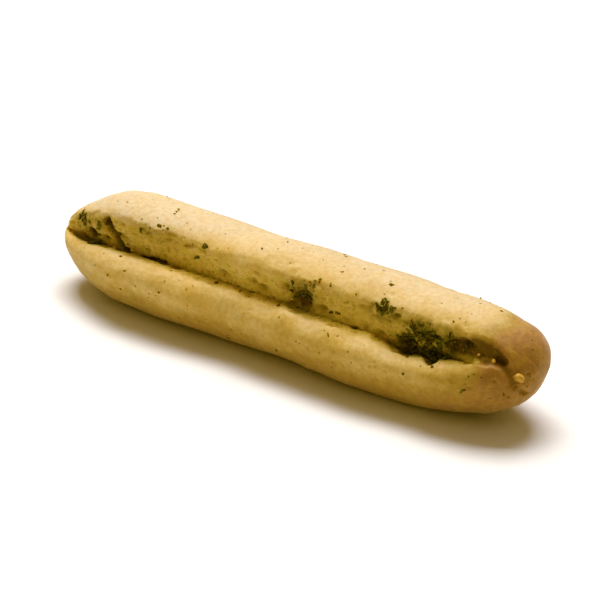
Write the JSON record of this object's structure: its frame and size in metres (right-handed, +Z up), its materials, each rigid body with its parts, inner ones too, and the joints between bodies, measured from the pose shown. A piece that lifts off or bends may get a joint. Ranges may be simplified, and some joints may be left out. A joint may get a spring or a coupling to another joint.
{
  "type": "grissini breadstick",
  "caption": "Short baked breadstick with rounded ends, a narrow flat underside and a slanted split along its front.",
  "frame": {"origin": "middle of the underside, seen from above the middle of the box", "axes": "+X along the stick towards its darker end, -Y out of the split front, +Z up"},
  "size_m": [0.06, 0.013, 0.0123],
  "materials": {
    "crust": "baked golden crust, matte to satin",
    "herb": "dried herb flakes, matte"
  },
  "bodies": {
    "root": {"breadstick": "crust"}
  },
  "joints": []
}
